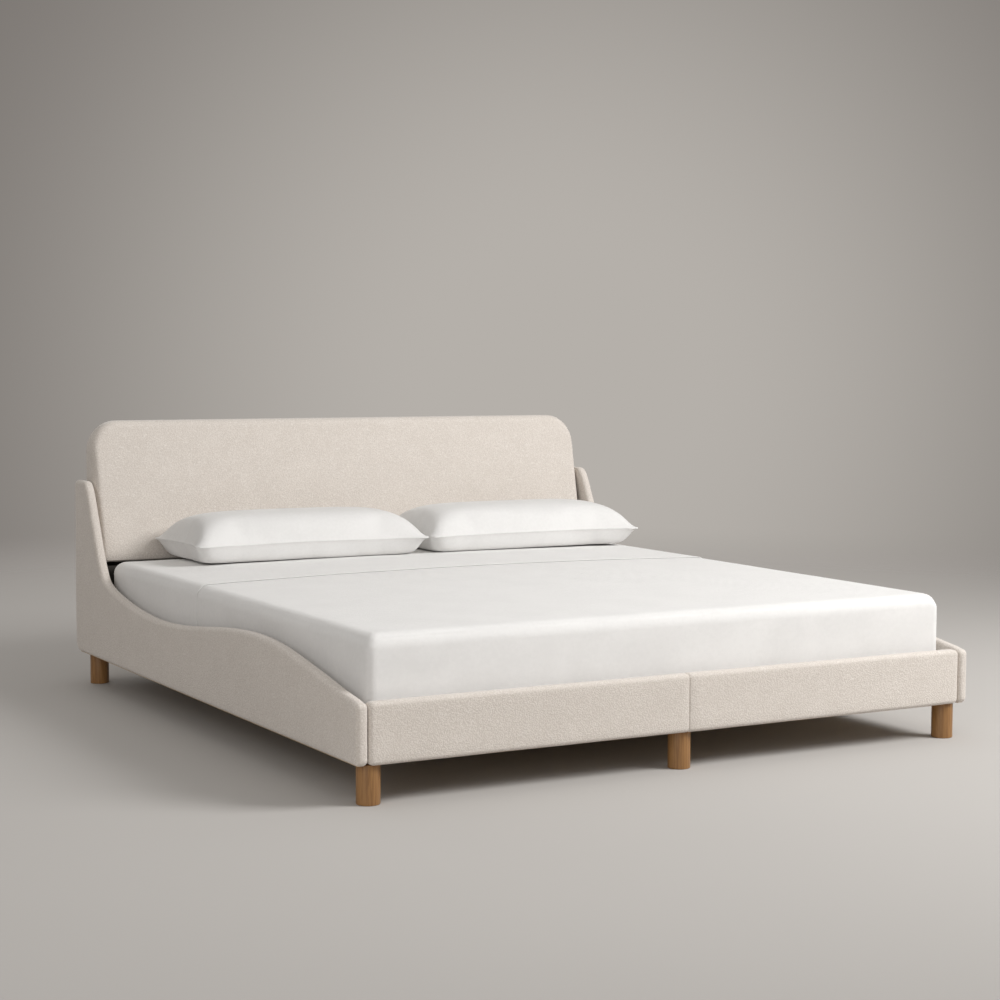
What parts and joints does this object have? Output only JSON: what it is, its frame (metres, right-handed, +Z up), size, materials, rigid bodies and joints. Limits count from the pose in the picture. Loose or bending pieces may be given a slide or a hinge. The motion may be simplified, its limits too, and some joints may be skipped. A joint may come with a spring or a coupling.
{
  "type": "upholstered headboard bed",
  "caption": "Low platform bed with wavy upholstered side panels rising into wings, a raked headboard pad, round wooden legs, a made-up mattress and pillows.",
  "frame": {"origin": "middle of the bed's footprint, on the floor", "axes": "+X from left to right seen from the foot, +Y from the foot to the head, +Z up"},
  "size_m": [2.048, 2.314, 0.917],
  "materials": {
    "upholstery": "oatmeal woven upholstery, slightly nubby",
    "plywood": "bare plywood",
    "pine": "planed pine",
    "oak": "oiled oak, satin",
    "steel": "zinc-plated steel",
    "nylon": "black moulded plastic",
    "webbing": "woven webbing",
    "ticking": "quilted mattress ticking",
    "cotton": "smooth white percale cotton"
  },
  "bodies": {
    "bed_frame": {"side_panel_left_board": "plywood", "side_panel_right_board": "plywood", "side_panel_left_cover": "upholstery", "side_panel_right_cover": "upholstery", "foot_panel_board": "plywood", "foot_panel_cover": "upholstery", "headboard_pad": "upholstery", "headboard_board": "plywood", "headboard_back_cover": "upholstery", "head_rail": "plywood", "leg_foot_left": "oak", "leg_foot_centre": "oak", "leg_foot_right": "oak", "leg_head_left": "oak", "leg_head_right": "oak", "leg_bolt_foot_left": "steel", "leg_bolt_foot_centre": "steel", "leg_bolt_foot_right": "steel", "leg_bolt_head_left": "steel", "leg_bolt_head_right": "steel", "leg_block_foot_left": "pine", "leg_block_foot_centre": "pine", "leg_block_foot_right": "pine", "leg_block_head_left": "pine", "leg_block_head_right": "pine", "side_ledger_left": "pine", "side_ledger_right": "pine", "centre_rail": "pine", "rail_hanger_foot": "steel", "rail_hanger_head": "steel", "centre_support_1": "pine", "centre_support_2": "pine", "centre_support_3": "pine", "slat_01": "pine", "slat_02": "pine", "slat_03": "pine", "slat_04": "pine", "slat_05": "pine", "slat_06": "pine", "slat_07": "pine", "slat_08": "pine", "slat_09": "pine", "slat_10": "pine", "slat_11": "pine", "slat_12": "pine", "slat_13": "pine", "slat_strap_left": "webbing", "slat_strap_right": "webbing", "corner_bracket_foot_left": "steel", "corner_bracket_foot_right": "steel", "corner_bracket_head_left": "steel", "corner_bracket_head_right": "steel"},
    "mattress": {"mattress": "ticking", "fitted_sheet": "cotton", "top_sheet": "cotton"},
    "pillow_left": {"pillow_left": "cotton"},
    "pillow_right": {"pillow_right": "cotton"},
    "levelling_glide_1": {"levelling_glide_1": "nylon"},
    "levelling_glide_2": {"levelling_glide_2": "nylon"},
    "levelling_glide_3": {"levelling_glide_3": "nylon"}
  },
  "joints": [
    {"name": "mattress_lift", "type": "slide", "parent": "bed_frame", "child": "mattress", "axis": [0, 0, 1], "range_m": [0, 0.35]},
    {"name": "pillow_left_lift", "type": "slide", "parent": "mattress", "child": "pillow_left", "axis": [0, 0, 1], "range_m": [0, 0.25]},
    {"name": "pillow_right_lift", "type": "slide", "parent": "mattress", "child": "pillow_right", "axis": [0, 0, 1], "range_m": [0, 0.25]},
    {"name": "levelling_glide_1_screw", "type": "slide", "parent": "bed_frame", "child": "levelling_glide_1", "axis": [0, 0, -1], "range_m": [0, 0.012]},
    {"name": "levelling_glide_2_screw", "type": "slide", "parent": "bed_frame", "child": "levelling_glide_2", "axis": [0, 0, -1], "range_m": [0, 0.012]},
    {"name": "levelling_glide_3_screw", "type": "slide", "parent": "bed_frame", "child": "levelling_glide_3", "axis": [0, 0, -1], "range_m": [0, 0.012]}
  ]
}
